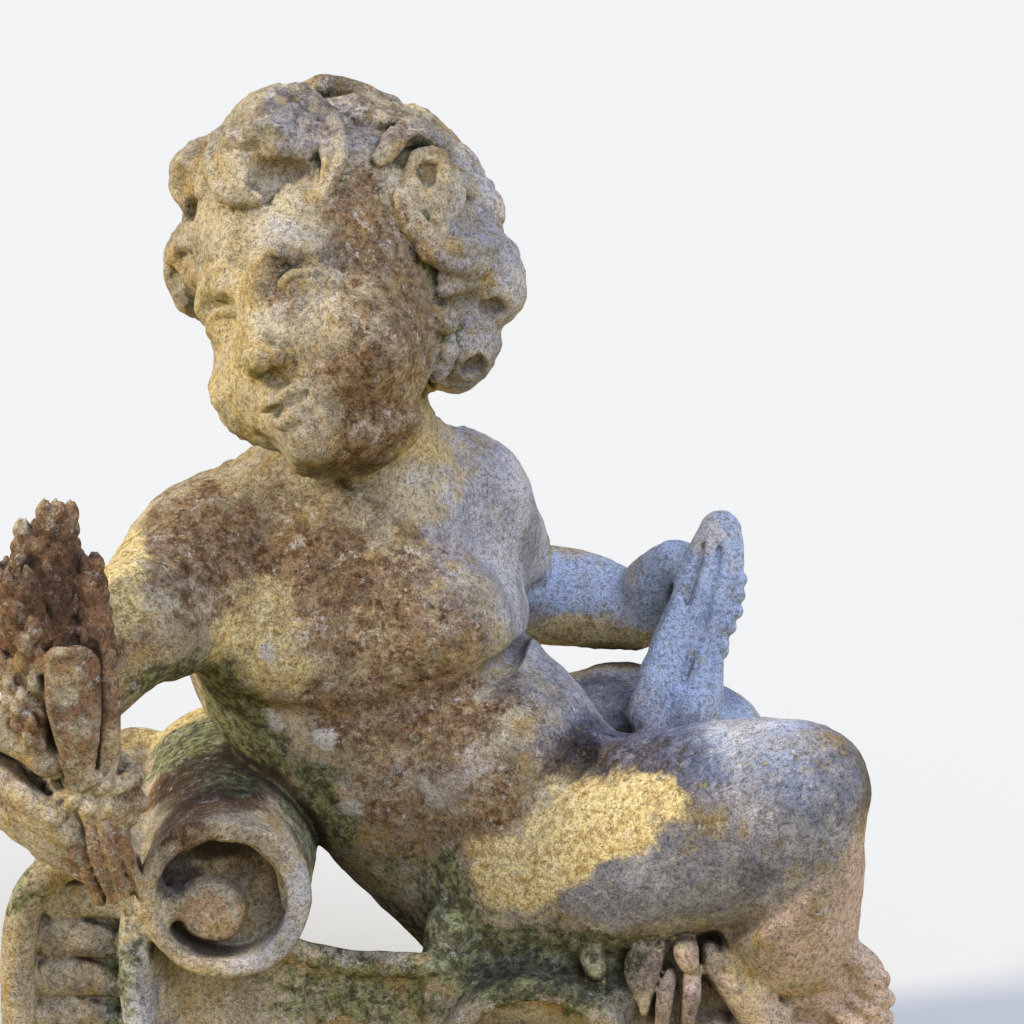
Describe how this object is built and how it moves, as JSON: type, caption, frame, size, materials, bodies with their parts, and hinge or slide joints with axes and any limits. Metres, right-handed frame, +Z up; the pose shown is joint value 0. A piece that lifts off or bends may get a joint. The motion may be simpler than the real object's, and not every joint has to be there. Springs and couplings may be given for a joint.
{
  "type": "stone putto statue",
  "caption": "Carved stone putto seated on a scrolled base, one arm round a sheaf of wheat and the other hand on an ear of maize.",
  "frame": {"origin": "on the flat underside of the plinth, below the middle of the statue's width and depth to within 30 mm", "axes": "+Z up from the underside, -Y the way the figure's body faces, +X to the figure's left, where its knees point"},
  "size_m": [0.4945, 0.3253, 0.5988],
  "materials": {
    "stone": "weathered limestone, rough and porous"
  },
  "bodies": {
    "root": {"putto_statue": "stone"}
  },
  "joints": []
}
